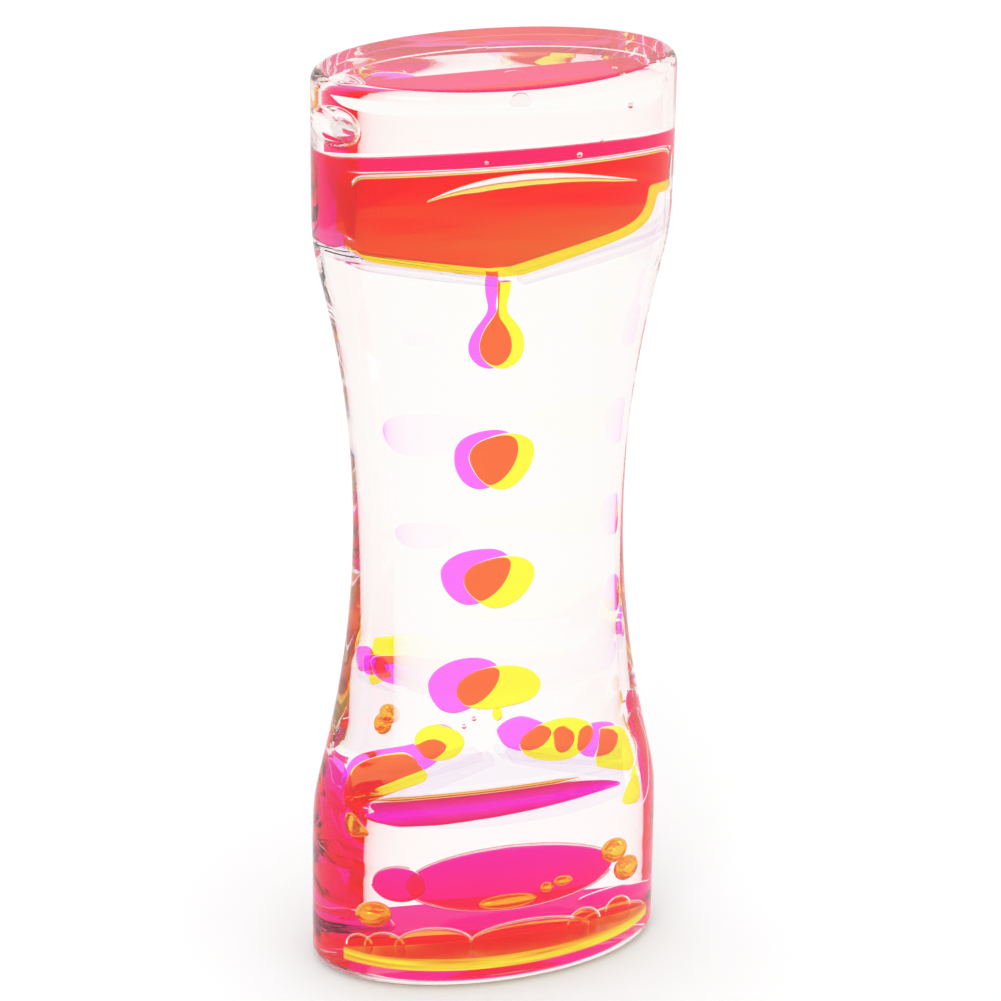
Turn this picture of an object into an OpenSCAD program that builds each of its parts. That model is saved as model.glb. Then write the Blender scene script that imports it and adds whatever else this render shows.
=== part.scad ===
/* [Body] */
// Height of the timer, standing on its end
body_h = 150; // [130:1:180]
// Width of the two ends
body_w = 58; // [54:0.5:66]
// Depth of the two ends, front to back
body_d = 35; // [33:0.5:42]
// Width of the waist
waist_w = 44.6; // [42:0.2:50]
// Height of the straight band at each end
end_h = 28.6; // [22:0.2:34]
// Length over which the waist curve eases into a straight end
ease = 1; // [0.4:0.1:3]
// Wall of the moulded body
wall = 1.6; // [1.2:0.1:2]

/* [Caps] */
// Thickness of a cap across its end
cap_t = 2.2; // [1.8:0.1:3]
// Radius of a cap's outer edge
rim_r = 2; // [0.5:0.1:2]
// Length of the skirt that reaches into the body
skirt_h = 9.4; // [7:0.1:9.6]
// Wall of the skirt
skirt_t = 1.4; // [1:0.1:1.8]
// Diameter of a filler plug
plug_dia = 3.2; // [2.4:0.1:4]
// Length of a filler plug
plug_h = 4.2; // [3:0.1:5]
// Distance of each filler hole from the middle plane
plug_y = 8.5; // [7:0.1:9.5]
// Wall of the boss round a filler hole
boss_wall = 1.4; // [1:0.1:2]

/* [Channels] */
// Thickness of the plate that parts the front from the back
divider_t = 2; // [1.4:0.1:3]
// Depth of the flat channel that the drops fall in
channel = 4.5; // [4.2:0.1:5]
// Thickness of the window plate that closes a channel
window_t = 1.5; // [1:0.1:2]

/* [Funnels] */
// Height of the lowest point of the funnel floor below the top
funnel_low = 32; // [28:0.1:34]
// Rise of the funnel floor from the nozzle to its shoulders
funnel_rise = 3.9; // [3:0.1:8]
// Distance of a shoulder in from the side of an end
shoulder_in = 6.6; // [6.4:0.1:8.6]
// Height of the lip outside a shoulder
lip_h = 3; // [1.5:0.1:3.6]
// Thickness of the funnel floor
floor_t = 1.3; // [1:0.1:2]
// Bore of the nozzle
nozzle_dia = 3.4; // [3.2:0.1:3.6]

/* [Ramps] */
// Height of the shelf under the ramps
shelf_z = 29.3; // [27:0.1:31]
// Thickness of the shelf
shelf_t = 1.3; // [1:0.1:2]
// Distance of the end of the shelf in from the side of an end, the way down for the drops
shelf_in = 9.2; // [9:0.1:10.4]
// Height of the crest of the front ramps over the shelf
crest_h = 7.4; // [5:0.1:8]
// Height of the crest of the rear ramps over the shelf
rear_crest_h = 5.8; // [5:0.1:8]
// Thickness of a ramp
ramp_t = 1.3; // [1:0.1:2]
// Bore through crest and shelf, the drip hole when the timer is turned over
drip_dia = 2.6; // [2:0.1:3.2]

/* [Liquids] */
// Depth of the front liquid's upper surface below the top
front_level = 14.6; // [12.6:0.1:16]
// Depth of the rear liquid's upper surface below the top
rear_level = 13.5; // [11.8:0.1:15]
// Depth of the pool in the front end
front_pool_h = 3.9; // [3:0.1:5]
// Depth of the pool in the rear end
rear_pool_h = 6.4; // [5:0.1:7]
// Height of the largest dome on the front pool
dome_h = 3.3; // [2:0.1:3.6]
// Height of the large dome on the rear pool
rear_dome_h = 7.4; // [3:0.1:8]
// Width of the large dome on the rear pool
rear_dome_w = 28.4; // [24:0.1:30]
// Depth of the large dome on the rear pool, front to back
rear_dome_d = 12; // [8:0.1:12]

/* [Drops] */
// Thickness of a drop, flattened between divider and window
drop_t = 3.9; // [3:0.1:4]
// Width of a hanging drop
hang_w = 6.4; // [5:0.1:7]
// Height of a hanging drop, from its foot to its neck
hang_h = 9.6; // [8:0.1:10]
// Diameter of a hanging drop's neck
neck_dia = 2; // [1.4:0.1:2.2]
// Depth of the front hanging drop's foot below the funnel floor
front_hang_low = 15.3; // [13:0.1:18]
// Depth of the rear hanging drop's foot below the funnel floor
rear_hang_low = 16.4; // [13:0.1:18]

/* [Fits] */
// Gap between parts that are pushed together
fit = 0.1; // [0.05:0.01:0.15]
// Gap all round a drop that moves
clear = 0.3; // [0.3:0.01:0.4]

/* [Hidden] */
$fn = 64;
mid_z = body_h / 2;
half_w = body_w / 2;
half_d = body_d / 2;
aspect = half_d / half_w;                      // depth to width, outside
inner_aspect = (half_d - wall) / (half_w - wall);
waist_t = mid_z - end_h;                       // half height of the waist curve
waist_in = (body_w - waist_w) / 2;
waist_r = (waist_in * waist_in + waist_t * waist_t) / (2 * waist_in);
bend_step = 3;                                 // between two rings where the waist curve sets in
bend_rings = 3;                                // rings on each side of that place
arc_rings = 9;                                 // bands along the waist curve
sides = 60;                                    // flats round an oval
front_hang_x = -0.4;                           // middle of each hanging drop's belly
rear_hang_x = -0.4;
plate_y = divider_t / 2;                       // face of the divider
window_y = plate_y + channel;                  // inner face of a window
glass_y = window_y + window_t;                 // outer face of a window
drop_y = plate_y + channel / 2;                // middle plane of a channel
skirt_z = body_h - cap_t - skirt_h;            // lower edge of the upper skirt
funnel_z = body_h - funnel_low;
crest_z = shelf_z + crest_h;
shoulder_x = half_w - shoulder_in;             // from the middle to a shoulder of the funnel
shelf_x = half_w - shelf_in;                   // half width of the shelf and the ramps
far = body_w;                                  // larger than any half of the body

// Each free drop: across, width, height, and its share of the way up from the front crest to the funnel
front_drops = [[-0.2, 9.7, 9.6], [-0.2, 10.8, 9], [-0.2, 12.4, 7.6]];
rear_drops = [[-0.7, 9.2, 10.2], [-1.8, 9.7, 10], [-3.4, 10, 9.8]];
front_share = [0.617, 0.364, 0.138];
rear_share = [0.605, 0.357, 0.123];
// Each bead over a ramp: how far in from the ramp's end, length, height, lift off the ramp
front_left = [[12.5, 7.1, 5.9, 1.9], [3.2, 12.8, 5.6, 0]];
front_right = [[12, 11.2, 5.8, 0], [2.8, 6.6, 5.6, 0]];
rear_left = [[7.9, 14, 4.8, 0]];
rear_right = [[15.6, 7.8, 5.4, 0], [9.6, 3.1, 4.4, 0], [4.6, 6.2, 5.2, 0]];
// Domes on the front pool: across, outwards, half width, half depth, height
front_domes = [[3.5, 7.4, 9.8, 5.4, dome_h], [-12.3, 6.6, 5.8, 5.4, 2.4], [18, 5.2, 4.4, 3.9, 1.9],
               [-19.4, 5.4, 2.4, 2.4, 1.5], [-7.6, 11, 2.2, 2.2, 1.3], [13, 10.4, 2, 2, 1.3]];
rear_dome_x = 4.4;                             // middle of the large dome on the rear pool
// The small dome beside it: across, outwards, half width, half depth, height
rear_side_dome = [-13, 6, 3, 3.4, 5];
// Beads in the lower end: how far in from the side of the end, outwards, height, diameter
falling = [[11.1, 5, 16.6, 4.1], [8.8, 5, 12.6, 4.1]];
resting = [[9.1, 5, 10.5, 4.8]];
// The stream that runs over the end of the front ramp: how far in from the side, top, foot, width
stream = [7.3, 29, 23.2, 2.8];

// Half width of the body outside at height z: straight ends, an arc between, softened where they meet
function arc_w(z) = waist_w / 2 + waist_r - sqrt(max(waist_r * waist_r - pow(z - mid_z, 2), 1));
function outer_w(z) = (half_w + arc_w(z) - sqrt(pow(half_w - arc_w(z), 2) + ease * ease)) / 2;
function inner_w(z) = outer_w(z) - wall;
// Half width of the inside at height z, on the plane at distance y from the middle
function across(z, y, gap) =
    (inner_w(z) - gap) * sqrt(1 - pow(y / ((inner_w(z) - gap) * inner_aspect), 2));
// The heights at which the wall bends, the same for every piece that follows it, and those from z0 to z1
bend = bend_rings * bend_step;
low_rings = [for (i = [-bend_rings : bend_rings]) end_h + i * bend_step];
mid_rings = [for (i = [1 : arc_rings - 1]) end_h + bend + (body_h - 2 * (end_h + bend)) * i / arc_rings];
high_rings = [for (i = [bend_rings : -1 : -bend_rings]) body_h - end_h - i * bend_step];
function steps(z0, z1) = concat([z0], [for (z = concat(low_rings, mid_rings, high_rings))
    if (z > z0 + bend_step / 4 && z < z1 - bend_step / 4) z], [z1]);
// Height of a ramp's crest over the shelf, and of its upper face at x
function crest(side) = side < 0 ? crest_h : rear_crest_h;
function bank(side, x) = shelf_z + crest(side) * (1 - abs(x) / shelf_x);
function fall_z(share) = crest_z + (funnel_z - crest_z) * share;

// A closed solid of oval rings, each given as [half width, half depth, height], from the lowest
// to the highest. With hollow true the last ring joins the first, which leaves a hole down the middle.
module oval(list, sides, hollow = false) {
    n = len(list);
    points = [for (p = list) for (i = [0 : sides - 1])
        [p[0] * cos(360 * i / sides), p[1] * sin(360 * i / sides), p[2]]];
    bands = [for (j = [0 : hollow ? n - 1 : n - 2]) for (i = [0 : sides - 1])
        let (a = j * sides, b = ((j + 1) % n) * sides, k = (i + 1) % sides)
        for (f = [[a + i, b + k, a + k], [a + i, b + i, b + k]]) f];
    ends = hollow ? [] : [[for (i = [0 : sides - 1]) i],
        [for (i = [sides - 1 : -1 : 0]) (n - 1) * sides + i]];
    polyhedron(points, concat(bands, ends), convexity = 6);
}
function outer_ring(z) = [outer_w(z), outer_w(z) * aspect, z];
function inner_ring(z, gap) = [inner_w(z) - gap, (inner_w(z) - gap) * inner_aspect, z];
// The inside of the body from z0 to z1, smaller by gap all round
module inside(z0, z1, gap) {
    oval([for (z = steps(z0, z1)) inner_ring(z, gap)], sides);
}
// The half of space in front of (side -1) or behind (side 1) the plane at distance y
module beyond(side, y) {
    translate([-far, side > 0 ? y : -y - far, -far]) cube([2 * far, far, body_h + 2 * far]);
}
// An outline in X and Z, as a plate from y0 to y1 on the given side
module plate(side, y0, y1) {
    translate([0, side > 0 ? y1 : -y0, 0]) rotate([90, 0, 0]) linear_extrude(y1 - y0) children();
}
// A flat panel as wide as the inside of the body at distance y
module panel(z0, z1, y, gap) {
    zs = steps(z0, z1);
    polygon(concat([for (z = zs) [across(z, y, gap), z]],
        [for (i = [len(zs) - 1 : -1 : 0]) [-across(zs[i], y, gap), zs[i]]]));
}
// A flattened round drop
module drop(side, x, z, w, h) {
    translate([x, side * drop_y, z]) scale([w, drop_t, h]) sphere(d = 1, $fn = 40);
}
// A round bar across the channel's depth, as a cutter
module cross_bore(side, z0, z1, dia) {
    translate([0, side * drop_y, z0]) cylinder(d = dia, h = z1 - z0);
}

module outer_shell() {
    zs = steps(cap_t, body_h - cap_t);
    outside = [for (z = zs) outer_ring(z)];
    bore = [for (i = [len(zs) - 1 : -1 : 0]) inner_ring(zs[i], 0)];
    color([0.96, 0.95, 0.96, 0.35]) oval(concat(outside, bore), sides, true);
}

// A cap: an end plate with a round edge, and a skirt that reaches into the body
module cap_body() {
    seat_z = body_h - cap_t;
    edge = [for (a = [0 : 15 : 90])
        let (w = half_w - rim_r + rim_r * cos(a)) [w, w - half_w + half_d, body_h - rim_r + rim_r * sin(a)]];
    skirt = [inner_ring(seat_z, fit + skirt_t), inner_ring(skirt_z, fit + skirt_t),
        inner_ring(skirt_z, fit), inner_ring(seat_z, fit)];
    oval(concat(skirt, [[half_w, half_d, seat_z]], edge), sides);
}
module top_cap() {
    color([0.96, 0.94, 0.95, 0.35])
        difference() {
            union() {
                cap_body();
                for (side = [-1, 1])
                    translate([0, side * plug_y, body_h - plug_h])
                        cylinder(d = plug_dia + 2 * (fit + boss_wall), h = plug_h - fit);
            }
            for (side = [-1, 1])
                translate([0, side * plug_y, body_h - plug_h - 1])
                    cylinder(d = plug_dia + 2 * fit, h = plug_h + 2);
        }
}
module bottom_cap() {
    color([0.96, 0.94, 0.95, 0.35]) translate([0, 0, body_h]) mirror([0, 0, 1]) cap_body();
}
module fill_plug(side) {
    color([0.95, 0.93, 0.93, 0.5])
        translate([0, side * plug_y, body_h - plug_h]) cylinder(d = plug_dia, h = plug_h);
}
module front_fill_plug() { fill_plug(-1); }
module rear_fill_plug() { fill_plug(1); }

module centre_divider() {
    color([0.97, 0.97, 0.98, 0.3]) {
        inset = 2 * fit + skirt_t;
        plate(1, -plate_y, plate_y) {
            panel(skirt_z, body_h - cap_t - fit, plate_y, inset);
            panel(body_h - skirt_z, skirt_z, plate_y, fit);
            panel(cap_t + fit, body_h - skirt_z, plate_y, inset);
        }
    }
}

module window(side) {
    color([0.97, 0.97, 0.98, 0.3])
        plate(side, window_y, glass_y) panel(shelf_z, skirt_z, glass_y, fit);
}
module front_window() { window(-1); }
module rear_window() { window(1); }

// The funnel floor: a V with a lip at each end and the nozzle through its lowest point
module funnel(side) {
    lip_x = across(funnel_z + funnel_rise, window_y, fit);
    lip_z = funnel_z + funnel_rise + lip_h;
    color([0.95, 0.9, 0.95, 0.4])
        difference() {
            plate(side, plate_y + fit, window_y - fit)
                polygon([[0, funnel_z], [shoulder_x, funnel_z + funnel_rise], [lip_x - floor_t, lip_z],
                    [lip_x, lip_z], [lip_x, lip_z - lip_h], [shoulder_x, funnel_z + funnel_rise - floor_t],
                    [0, funnel_z - floor_t], [-shoulder_x, funnel_z + funnel_rise - floor_t],
                    [-lip_x, lip_z - lip_h], [-lip_x, lip_z], [floor_t - lip_x, lip_z],
                    [-shoulder_x, funnel_z + funnel_rise]]);
            cross_bore(side, funnel_z - 2 * floor_t, funnel_z + funnel_rise, nozzle_dia);
        }
}
module front_funnel() { funnel(-1); }
module rear_funnel() { funnel(1); }

// The shelf: a D-shaped floor under a ramp, cut short at both ends
module shelf(side) {
    color([0.95, 0.9, 0.95, 0.4])
        difference() {
            intersection() {
                inside(shelf_z - shelf_t, shelf_z, fit);
                beyond(side, plate_y);
                translate([-shelf_x, -far, 0]) cube([2 * shelf_x, 2 * far, body_h]);
            }
            cross_bore(side, shelf_z - 2 * shelf_t, shelf_z + 1, drip_dia);
        }
}
module front_shelf() { shelf(-1); }
module rear_shelf() { shelf(1); }

// The ramps: a roof that runs down from the crest to both ends of the shelf
module ramp(side) {
    top_z = shelf_z + crest(side);
    foot_x = shelf_x * (1 - ramp_t / crest(side));
    color([0.95, 0.9, 0.95, 0.4])
        difference() {
            plate(side, plate_y + fit, window_y - fit)
                polygon([[0, top_z], [shelf_x, shelf_z], [foot_x, shelf_z], [0, top_z - ramp_t],
                    [-foot_x, shelf_z], [-shelf_x, shelf_z]]);
            cross_bore(side, top_z - 2 * ramp_t, top_z + 1, drip_dia);
        }
}
module front_ramp() { ramp(-1); }
module rear_ramp() { ramp(1); }

// The clear liquid outside a window, and the clear liquid under the top cap
module clear_liquid(side) {
    color([0.98, 0.98, 1, 0.15])
        intersection() {
            inside(shelf_z, skirt_z - fit, fit);
            beyond(side, glass_y);
        }
}
module front_clear_liquid() { clear_liquid(-1); }
module rear_clear_liquid() { clear_liquid(1); }
module cap_liquid(side) {
    color([0.98, 0.98, 1, 0.15])
        difference() {
            intersection() {
                inside(skirt_z, body_h - cap_t - fit, 2 * fit + skirt_t);
                beyond(side, plate_y + fit);
            }
            translate([0, side * plug_y, body_h - plug_h - fit])
                cylinder(d = plug_dia + 2 * (2 * fit + boss_wall), h = plug_h);
        }
}
module front_cap_liquid() { cap_liquid(-1); }
module rear_cap_liquid() { cap_liquid(1); }

// The coloured liquid held over a funnel, between divider and window
module upper_pool(side, level) {
    top_z = body_h - level;
    lip_x = across(funnel_z + funnel_rise, window_y, fit);
    lip_z = funnel_z + funnel_rise + lip_h + fit;
    edge = [for (i = [0 : 8]) let (z = lip_z + (top_z - lip_z) * i / 8) [across(z, window_y, 2 * fit), z]];
    right = concat([[shoulder_x, funnel_z + funnel_rise + fit], [lip_x - floor_t, lip_z]], edge);
    plate(side, plate_y + fit, window_y - fit)
        polygon(concat([[nozzle_dia / 2, funnel_z + fit + nozzle_dia / 2 * funnel_rise / shoulder_x]], right,
            [for (i = [len(right) - 1 : -1 : 0]) [-right[i][0], right[i][1]]],
            [[-nozzle_dia / 2, funnel_z + fit + nozzle_dia / 2 * funnel_rise / shoulder_x]]));
}
module front_upper_pool() { color([1, 0.9, 0.1, 0.7]) upper_pool(-1, front_level); }
module rear_upper_pool() { color([0.95, 0.05, 0.6, 0.7]) upper_pool(1, rear_level); }

// A pool in the lower end, with the domes of drops that rest on it
module pool_body(side, depth) {
    intersection() {
        inside(cap_t + fit, cap_t + fit + depth, 2 * fit + skirt_t);
        beyond(side, plate_y + fit);
    }
}
// The upper half of a round body that rests on a pool
module dome(x, y, half, deep, h, depth) {
    translate([x, y, cap_t + fit + depth])
        scale([half, deep, h])
            difference() {
                sphere(r = 1, $fn = 40);
                translate([-2, -2, -2]) cube([4, 4, 2]);
            }
}
module front_lower_pool() {
    color([1, 0.85, 0.1, 0.7]) {
        pool_body(-1, front_pool_h);
        for (d = front_domes) dome(d[0], -d[1], d[2], d[3], d[4], front_pool_h);
    }
}
module rear_lower_pool() {
    dome_y = plate_y + 2 * clear + rear_dome_d / 2;
    color([0.95, 0.05, 0.6, 0.7]) {
        pool_body(1, rear_pool_h);
        dome(rear_dome_x, dome_y, rear_dome_w / 2, rear_dome_d / 2, rear_dome_h, rear_pool_h);
        let (d = rear_side_dome) dome(d[0], d[1], d[2], d[3], d[4], rear_pool_h);
    }
}

// A drop that hangs from the nozzle by its neck
module hanging_drop(side, x, foot_z) {
    belly = hang_w / 2;
    turn = 20;                                 // where the round belly passes into the neck
    low = [for (a = [-84 : 13 : turn]) [belly * cos(a), foot_z + belly * (1 + sin(a))]];
    high = [for (i = [1 : 6]) let (k = i / 6, u = pow(1 - k, 1.5))
        [belly * cos(turn) * u + neck_dia / 2 * (1 - u),
         (foot_z + belly * (1 + sin(turn))) * (1 - k) + (foot_z + hang_h) * k]];
    flat = concat(low, high, [[neck_dia / 2, funnel_z - 2 * clear]]);
    translate([x, side * drop_y, 0])
        oval([for (p = flat) [p[0], min(p[0], drop_t / 2), p[1]]], 24);
}
module front_hanging_drop() {
    color([1, 0.95, 0.15]) hanging_drop(-1, front_hang_x, funnel_z - front_hang_low);
}
module rear_hanging_drop() {
    color([0.97, 0.3, 0.95]) hanging_drop(1, rear_hang_x, funnel_z - rear_hang_low);
}
module front_drop(i) {
    d = front_drops[i];
    color([1, 0.95, 0.15]) drop(-1, d[0], fall_z(front_share[i]), d[1], d[2]);
}
module rear_drop(i) {
    d = rear_drops[i];
    color([0.97, 0.3, 0.95]) drop(1, d[0], fall_z(rear_share[i]), d[1], d[2]);
}

// A bead that lies along the slope of a ramp or floats over it, to the left (turn -1) or right (turn 1)
module ramp_bead(side, turn, bead) {
    x = turn * (shelf_x - bead[0]);
    translate([x, side * drop_y, bank(side, x)])
        rotate([0, turn * atan(crest(side) / shelf_x), 0])
            translate([0, 0, bead[2] / 2 + clear + bead[3]])
                scale([bead[1], drop_t, bead[2]]) sphere(d = 1, $fn = 40);
}
module front_left_bead() { color([1, 0.95, 0.15]) ramp_bead(-1, -1, front_left[0]); }
module front_left_blob() { color([1, 0.95, 0.15]) ramp_bead(-1, -1, front_left[1]); }
module front_right_blob() { color([1, 0.95, 0.15]) ramp_bead(-1, 1, front_right[0]); }
module front_right_tail() { color([1, 0.95, 0.15]) ramp_bead(-1, 1, front_right[1]); }
module rear_left_blob() { color([0.97, 0.3, 0.95]) ramp_bead(1, -1, rear_left[0]); }
module rear_right_beads() { color([0.97, 0.3, 0.95]) for (b = rear_right) ramp_bead(1, 1, b); }
module front_stream() {
    color([1, 0.9, 0.15])
        translate([half_w - stream[0], -drop_y, (stream[1] + stream[2]) / 2])
            scale([stream[3], stream[3], stream[1] - stream[2]]) sphere(d = 1, $fn = 32);
}
// Round beads in the lower end, on their way to the pool or resting on it
module round_beads(turn, list) {
    color([1, 0.65, 0.1])
        for (b = list) translate([turn * (half_w - b[0]), -b[1], b[2]]) sphere(d = b[3], $fn = 32);
}
module front_falling_beads() { round_beads(1, falling); }
module front_resting_bead() { round_beads(-1, resting); }

outer_shell();
top_cap();
bottom_cap();
front_fill_plug();
rear_fill_plug();
centre_divider();
front_window();
rear_window();
front_funnel();
rear_funnel();
front_shelf();
rear_shelf();
front_ramp();
rear_ramp();
front_clear_liquid();
rear_clear_liquid();
front_cap_liquid();
rear_cap_liquid();
front_upper_pool();
rear_upper_pool();
front_lower_pool();
rear_lower_pool();
front_hanging_drop();
rear_hanging_drop();
front_drop(0);  // front_drop_1
front_drop(1);  // front_drop_2
front_drop(2);  // front_drop_3
rear_drop(0);  // rear_drop_1
rear_drop(1);  // rear_drop_2
rear_drop(2);  // rear_drop_3
front_left_bead();
front_left_blob();
front_right_blob();
front_right_tail();
front_stream();
rear_left_blob();
rear_right_beads();
front_falling_beads();
front_resting_bead();
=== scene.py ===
import math

import bpy
import numpy as np
from mathutils import Matrix


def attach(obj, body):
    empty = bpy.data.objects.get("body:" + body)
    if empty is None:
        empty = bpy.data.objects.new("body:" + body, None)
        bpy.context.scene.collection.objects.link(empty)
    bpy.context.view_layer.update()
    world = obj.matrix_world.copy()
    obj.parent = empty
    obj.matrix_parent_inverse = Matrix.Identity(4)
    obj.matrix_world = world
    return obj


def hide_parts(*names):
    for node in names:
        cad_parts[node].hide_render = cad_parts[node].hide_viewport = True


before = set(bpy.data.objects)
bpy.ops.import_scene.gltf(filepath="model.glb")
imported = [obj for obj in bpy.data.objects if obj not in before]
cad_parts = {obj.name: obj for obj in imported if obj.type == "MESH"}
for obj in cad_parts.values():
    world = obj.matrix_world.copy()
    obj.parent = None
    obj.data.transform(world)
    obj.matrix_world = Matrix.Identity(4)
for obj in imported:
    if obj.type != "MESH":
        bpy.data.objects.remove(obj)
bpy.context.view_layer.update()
mm = 0.001
print("frame loaded:", len(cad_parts), "nodes")

# sizes of the moulded body in mm, the same as the CAD's
bodySizes = {"height": 150, "halfWidth": 29, "halfDepth": 17.5, "halfWaist": 22.3, "endHeight": 28.6,
             "ease": 1, "wall": 1.6, "rim": 2, "sides": 200}
middleZ = bodySizes["height"] / 2
waistIn = bodySizes["halfWidth"] - bodySizes["halfWaist"]
waistHalfHeight = middleZ - bodySizes["endHeight"]
waistRadius = (waistIn ** 2 + waistHalfHeight ** 2) / (2 * waistIn)
outerAspect = bodySizes["halfDepth"] / bodySizes["halfWidth"]
innerAspect = (bodySizes["halfDepth"] - bodySizes["wall"]) / (bodySizes["halfWidth"] - bodySizes["wall"])


def outerHalf(z):
    # straight ends joined by an arc of waistRadius, eased where they meet
    arc = bodySizes["halfWaist"] + waistRadius - np.sqrt(np.maximum(waistRadius ** 2 - (z - middleZ) ** 2, 1))
    gap = bodySizes["halfWidth"] - arc
    return (bodySizes["halfWidth"] + arc - np.sqrt(gap ** 2 + bodySizes["ease"] ** 2)) / 2


def innerHalf(z, gap=0.0):
    return outerHalf(z) - bodySizes["wall"] - gap


def across(z, y, gap=0.0):
    # half width of the inside on the plane at depth y
    half = innerHalf(np.asarray(z, float), gap)
    return half * np.sqrt(np.maximum(1 - (y / (half * innerAspect)) ** 2, 0.01))


def meshObject(name, points, faces, smooth=True):
    mesh = bpy.data.meshes.new(name)
    mesh.from_pydata(np.asarray(points, float).tolist(), [], faces)
    mesh.polygons.foreach_set("use_smooth", np.full(len(mesh.polygons), smooth))
    mesh.update()
    piece = bpy.data.objects.new(name, mesh)
    bpy.context.collection.objects.link(piece)
    return piece


def gridFaces(rows, cols):
    # quads between neighbouring rows of a grid whose columns close round
    r, c = np.meshgrid(np.arange(rows - 1), np.arange(cols), indexing="ij")
    n = (c + 1) % cols
    return np.stack([r * cols + c, r * cols + n, (r + 1) * cols + n, (r + 1) * cols + c], -1).reshape(-1, 4)


def closedGrid(name, *grids):
    # grid[row, column] = point in mm; the first and last rows are closed with one flat many-sided face each
    points, faces, shade, start = [], [], [], 0
    for grid in grids:
        rows, cols = grid.shape[:2]
        own = grid.reshape(-1, 3) * mm
        quads = gridFaces(rows, cols)
        a, b, c = (own[quads[:, k]] - own.mean(0) for k in range(3))
        turn = 1 if np.einsum("ij,ij->i", a, np.cross(b, c)).sum() > 0 else -1
        ends = [np.arange(cols)[::-turn] + start, ((rows - 1) * cols + np.arange(cols))[::turn] + start]
        points.append(own)
        faces += (quads[:, ::turn] + start).tolist() + [e.tolist() for e in ends]
        shade += [True] * len(quads) + [False, False]
        start += rows * cols
    piece = meshObject(name, np.concatenate(points), faces)
    piece.data.polygons.foreach_set("use_smooth", np.array(shade))
    return piece


def ovalGrid(z, halfW, halfD, cx=0.0, cy=0.0, sides=48):
    # an oval ring (cx + halfW cos a, cy + halfD sin a) at each height z
    a = np.linspace(0, 2 * np.pi, sides, endpoint=False)
    z = np.asarray(z, float)
    w, d, x, y = (np.broadcast_to(v, z.shape) for v in (halfW, halfD, cx, cy))
    return np.stack([x[:, None] + np.outer(w, np.cos(a)), y[:, None] + np.outer(d, np.sin(a)),
                     np.repeat(z[:, None], sides, 1)], -1)


def ballGrid(x, y, z, halfX, halfY, halfZ, rows=28, sides=40):
    # a ball (x + halfX cos t cos a, y + halfY cos t sin a, z + halfZ sin t)
    t = np.linspace(-np.pi / 2, np.pi / 2, rows + 2)[1:-1]
    return ovalGrid(z + halfZ * np.sin(t), halfX * np.cos(t), halfY * np.cos(t), x, y, sides)


def roundCorners(points, radii, steps=7):
    # each corner becomes a curve that leaves both of its edges radius away from it: a quadratic whose middle
    # point is the corner
    p = np.asarray(points, float)
    back, on = np.roll(p, 1, 0) - p, np.roll(p, -1, 0) - p
    r = np.broadcast_to(np.asarray(radii, float), (len(p),))[:, None]
    lb, lo = np.linalg.norm(back, axis=1, keepdims=True), np.linalg.norm(on, axis=1, keepdims=True)
    a, b = p + back / lb * np.minimum(r, lb * 0.48), p + on / lo * np.minimum(r, lo * 0.48)
    t = np.linspace(0, 1, steps)[None, :, None]
    return ((1 - t) ** 2 * a[:, None] + 2 * t * (1 - t) * p[:, None] + t ** 2 * b[:, None]).reshape(-1, 2)


def smoothLoop(points, each=6, soften=1):
    # a closed Catmull-Rom curve through the points, after each point is drawn a little towards its neighbours
    p = np.asarray(points, float)
    for _ in range(soften):
        p = 0.7 * p + 0.15 * (np.roll(p, 1, 0) + np.roll(p, -1, 0))
    a, b, c, d = (np.roll(p, k, 0)[:, None] for k in (1, 0, -1, -2))
    t = np.linspace(0, 1, each, endpoint=False)[None, :, None]
    return (0.5 * (2 * b + (c - a) * t + (2 * a - 5 * b + 4 * c - d) * t ** 2
                   + (3 * b - a - 3 * c + d) * t ** 3)).reshape(-1, 2)


def insetLoop(loop, d):
    # the loop moved d inwards along the mean of its two edge normals
    on = np.roll(loop, -1, 0) - np.roll(loop, 1, 0)
    n = np.stack([-on[:, 1], on[:, 0]], -1) / np.maximum(np.linalg.norm(on, axis=1, keepdims=True), 1e-9)
    area = np.sum(loop[:, 0] * np.roll(loop[:, 1], -1) - np.roll(loop[:, 0], -1) * loop[:, 1])
    return loop + n * d * np.sign(area)


def slabGrid(loop, low, high, edge, upright=True):
    # an outline carried from low to high, drawn in at both faces by a quarter circle of radius edge;
    # upright outlines are in X and Z and go along Y, the others are in X and Y and go along Z
    a = np.linspace(0, np.pi / 2, 5)
    depth = np.concatenate([low + edge * (1 - np.cos(a)), high - edge * (1 - np.cos(a[::-1]))])
    inset = np.concatenate([edge * (1 - np.sin(a)), edge * (1 - np.sin(a[::-1]))])
    rows = [np.stack([r[:, 0], r[:, 1], np.full(len(r), k)], -1) for k, r in
            zip(depth, [insetLoop(loop, d) for d in inset])]
    return np.array(rows)[..., [0, 2, 1] if upright else [0, 1, 2]]


def pancakeGrid(loop, y, halfT, box=0.55):
    # an outline in X and Z swollen to a flat drop: scale |cos|^box and depth |sin|^box from face to face
    centre = loop.mean(0)
    t = np.linspace(-np.pi / 2, np.pi / 2, 23)[1:-1]
    scale, depth = np.cos(t) ** box, halfT * np.sign(np.sin(t)) * np.abs(np.sin(t)) ** box
    flat = centre + (loop - centre)[None] * scale[:, None, None]
    return np.stack([flat[..., 0], np.repeat((y + depth)[:, None], len(loop), 1), flat[..., 1]], -1)


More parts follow.
